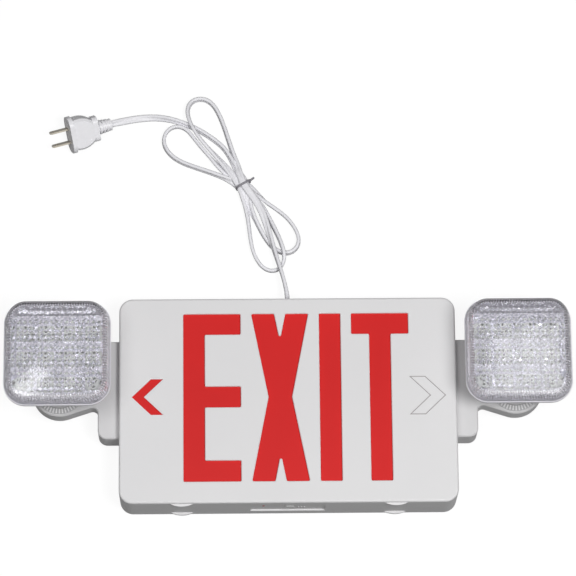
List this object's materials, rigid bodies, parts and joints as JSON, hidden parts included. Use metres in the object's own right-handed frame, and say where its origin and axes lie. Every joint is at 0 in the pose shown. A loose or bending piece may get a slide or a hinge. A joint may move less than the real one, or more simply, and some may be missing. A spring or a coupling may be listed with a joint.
{
  "type": "emergency exit light",
  "caption": "Wall-mounted emergency exit sign light with red stencil lettering, swivelling square lamp heads on side arms, and a tied supply cord with a flat-blade plug.",
  "frame": {"origin": "centre of the wire-entry hole in the wall face of the back plate, which is the underside as the light lies on its back", "axes": "+X to the right of someone who reads the sign, +Y to the top of the lettering, +Z out of the lettered face"},
  "size_m": [0.497, 0.3925, 0.095],
  "materials": {
    "housing": "satin moulded white",
    "red_panel": "satin translucent red",
    "white_liner": "matt white",
    "circuit_board": "satin white solder mask",
    "screw_steel": "zinc plated",
    "battery_sleeve": "heat-shrunk blue sleeve",
    "core_steel": "varnished laminations",
    "button": "satin white",
    "indicator": "red tinted",
    "cord_jacket": "soft white vinyl",
    "tie_wire": "white paper-covered tie",
    "plug_moulding": "soft white vinyl",
    "blade_nickel": "nickel-plated",
    "arm_plastic": "satin moulded white",
    "head_plastic": "satin moulded white",
    "clear_lens": "clear prismatic",
    "reflector_plate": "bright vacuum plating"
  },
  "bodies": {
    "housing": {"back_plate": "housing", "battery_clip": "housing", "battery_pack": "battery_sleeve", "board_screws": "screw_steel", "bottom_light_strip": "circuit_board", "control_board": "circuit_board", "cord_grommet": "cord_jacket", "cord_hank": "cord_jacket", "cord_lead": "cord_jacket", "cord_tail": "cord_jacket", "cord_tie": "tie_wire", "face_plate": "housing", "housing_frame": "housing", "indicator_lamp": "indicator", "left_arm_cover": "arm_plastic", "left_arm_screws": "screw_steel", "left_arm_shell": "arm_plastic", "left_click_ring": "arm_plastic", "left_lobe_cap": "arm_plastic", "letter_panel": "red_panel", "plug_blades": "blade_nickel", "plug_body": "plug_moulding", "reflector_tray": "white_liner", "right_arm_cover": "arm_plastic", "right_arm_screws": "screw_steel", "right_arm_shell": "arm_plastic", "right_click_ring": "arm_plastic", "right_lobe_cap": "arm_plastic", "test_board": "circuit_board", "top_light_strip": "circuit_board", "transformer": "core_steel", "transformer_screws": "screw_steel"},
    "right_swivel": {"right_turret": "arm_plastic", "right_pivot_nut": "arm_plastic", "right_tilt_bolt": "screw_steel"},
    "right_head": {"right_head_case": "head_plastic", "right_head_lens": "clear_lens", "right_reflector": "reflector_plate", "right_lamp_board": "circuit_board"},
    "left_swivel": {"left_turret": "arm_plastic", "left_pivot_nut": "arm_plastic", "left_tilt_bolt": "screw_steel"},
    "left_head": {"left_head_case": "head_plastic", "left_head_lens": "clear_lens", "left_reflector": "reflector_plate", "left_lamp_board": "circuit_board"},
    "test_push": {"test_button": "button", "switch_plunger": "button"}
  },
  "joints": [
    {"name": "right_swivel_turn", "type": "hinge", "parent": "housing", "child": "right_swivel", "pos_m": [0.2018, 0.013, 0.0358], "axis": [0, 0, 1], "range_deg": [-90, 90]},
    {"name": "right_head_tilt", "type": "hinge", "parent": "right_swivel", "child": "right_head", "pos_m": [0.2018, 0.013, 0.05], "axis": [1, 0, 0], "range_deg": [-12, 60]},
    {"name": "left_swivel_turn", "type": "hinge", "parent": "housing", "child": "left_swivel", "pos_m": [-0.2018, 0.013, 0.0358], "axis": [0, 0, 1], "range_deg": [-90, 90]},
    {"name": "left_head_tilt", "type": "hinge", "parent": "left_swivel", "child": "left_head", "pos_m": [-0.2018, 0.013, 0.05], "axis": [1, 0, 0], "range_deg": [-12, 60]},
    {"name": "test_button_press", "type": "slide", "parent": "housing", "child": "test_push", "axis": [0, 1, 0], "range_m": [0, 0.0015], "stiffness_N_per_m": 200, "springref_m": -0.0005}
  ]
}
